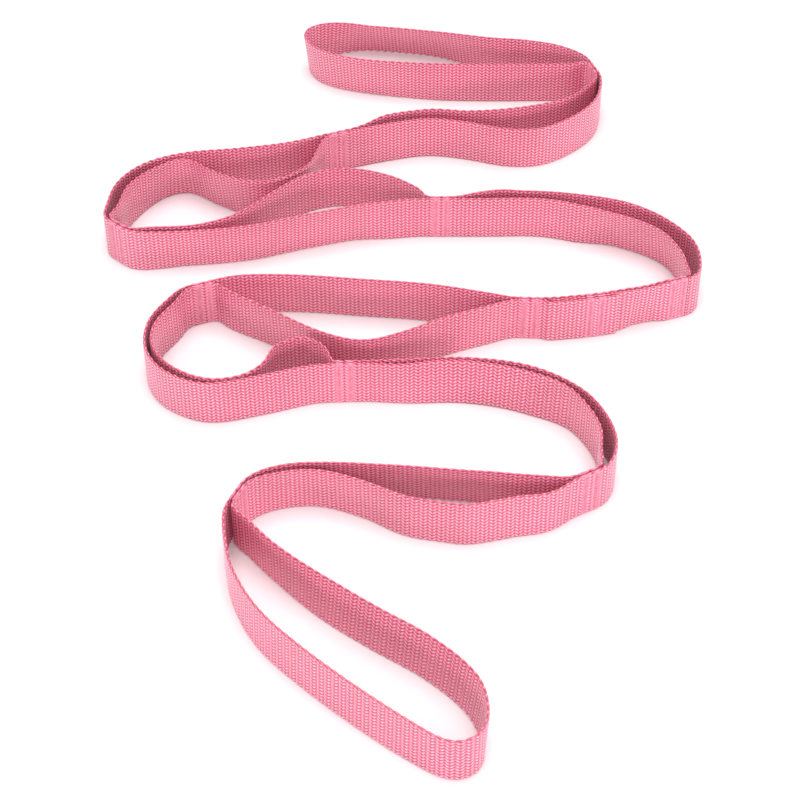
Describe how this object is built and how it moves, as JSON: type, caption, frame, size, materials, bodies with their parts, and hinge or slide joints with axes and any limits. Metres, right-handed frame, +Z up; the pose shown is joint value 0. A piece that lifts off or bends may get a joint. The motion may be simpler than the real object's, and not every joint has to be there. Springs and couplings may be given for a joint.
{
  "type": "stretching strap",
  "caption": "Two-layer webbing band sewn together at tacks so that a row of hand and foot loops stands open between the layers, laid out on its edge in a snake.",
  "frame": {"origin": "under the middle of the strap's outline as it is laid out, on the surface that its edges stand on", "axes": "+Z up, across the webbing; +Y towards loop 1 at the far end, along the longest extent; +X to the right when loop 10 is nearest the viewer"},
  "size_m": [0.3002, 0.5112, 0.025],
  "materials": {
    "webbing": "matt woven polyester",
    "thread": "matt sewing thread"
  },
  "bodies": {
    "closure": {"closure_back_ply": "webbing", "closure_under_end": "webbing", "closure_over_end": "webbing", "tack_05_stitching": "thread", "tack_06_stitching": "thread", "splice_stitching": "thread"},
    "loop_01": {"loop_01_far_end": "webbing"},
    "loop_02": {"loop_02_slack_ply": "webbing", "loop_02_straight_ply": "webbing", "tack_01_stitching": "thread"},
    "loop_03": {"loop_03_slack_ply": "webbing", "loop_03_straight_ply": "webbing", "tack_02_stitching": "thread"},
    "loop_04": {"loop_04_slack_ply": "webbing", "loop_04_straight_ply": "webbing", "tack_03_stitching": "thread"},
    "loop_05": {"loop_05_slack_ply": "webbing", "loop_05_straight_ply": "webbing", "tack_04_stitching": "thread"},
    "loop_06": {"loop_06_slack_ply": "webbing", "loop_06_straight_ply": "webbing", "tack_07_stitching": "thread"},
    "loop_07": {"loop_07_slack_ply": "webbing", "loop_07_straight_ply": "webbing", "tack_08_stitching": "thread"},
    "loop_08": {"loop_08_slack_ply": "webbing", "loop_08_straight_ply": "webbing", "tack_09_stitching": "thread"},
    "loop_09": {"loop_09_slack_ply": "webbing", "loop_09_straight_ply": "webbing", "tack_10_stitching": "thread"},
    "loop_10": {"loop_10_near_end": "webbing"}
  },
  "joints": [
    {"name": "tack_01_bend", "type": "hinge", "parent": "loop_02", "child": "loop_01", "pos_m": [0.10673, 0.21396, 0.0125], "axis": [0, 0, 1], "range_deg": [-90, 15]},
    {"name": "tack_02_bend", "type": "hinge", "parent": "loop_03", "child": "loop_02", "pos_m": [-0.02736, 0.14997, 0.0125], "axis": [0, 0, 1], "range_deg": [-15, 75]},
    {"name": "tack_03_bend", "type": "hinge", "parent": "loop_04", "child": "loop_03", "pos_m": [-0.14527, 0.07311, 0.0125], "axis": [0, 0, 1], "range_deg": [0, 90]},
    {"name": "tack_04_bend", "type": "hinge", "parent": "loop_05", "child": "loop_04", "pos_m": [0.01694, 0.09126, 0.0125], "axis": [0, 0, 1], "range_deg": [-20, 5]},
    {"name": "tack_05_bend", "type": "hinge", "parent": "closure", "child": "loop_05", "pos_m": [0.14164, 0.02797, 0.0125], "axis": [0, 0, 1], "range_deg": [-90, 0]},
    {"name": "tack_06_bend", "type": "hinge", "parent": "closure", "child": "loop_06", "pos_m": [0.05894, 0.01144, 0.0125], "axis": [0, 0, 1], "range_deg": [-5, 60]},
    {"name": "tack_07_bend", "type": "hinge", "parent": "loop_06", "child": "loop_07", "pos_m": [-0.09976, 0.02105, 0.0125], "axis": [0, 0, 1], "range_deg": [-80, 0]},
    {"name": "tack_08_bend", "type": "hinge", "parent": "loop_07", "child": "loop_08", "pos_m": [-0.02006, -0.03456, 0.0125], "axis": [0, 0, 1], "range_deg": [-30, 10]},
    {"name": "tack_09_bend", "type": "hinge", "parent": "loop_08", "child": "loop_09", "pos_m": [0.08053, -0.10909, 0.0125], "axis": [0, 0, 1], "range_deg": [-10, 90]},
    {"name": "tack_10_bend", "type": "hinge", "parent": "loop_09", "child": "loop_10", "pos_m": [-0.07217, -0.12327, 0.0125], "axis": [0, 0, 1], "range_deg": [-90, 25]}
  ]
}
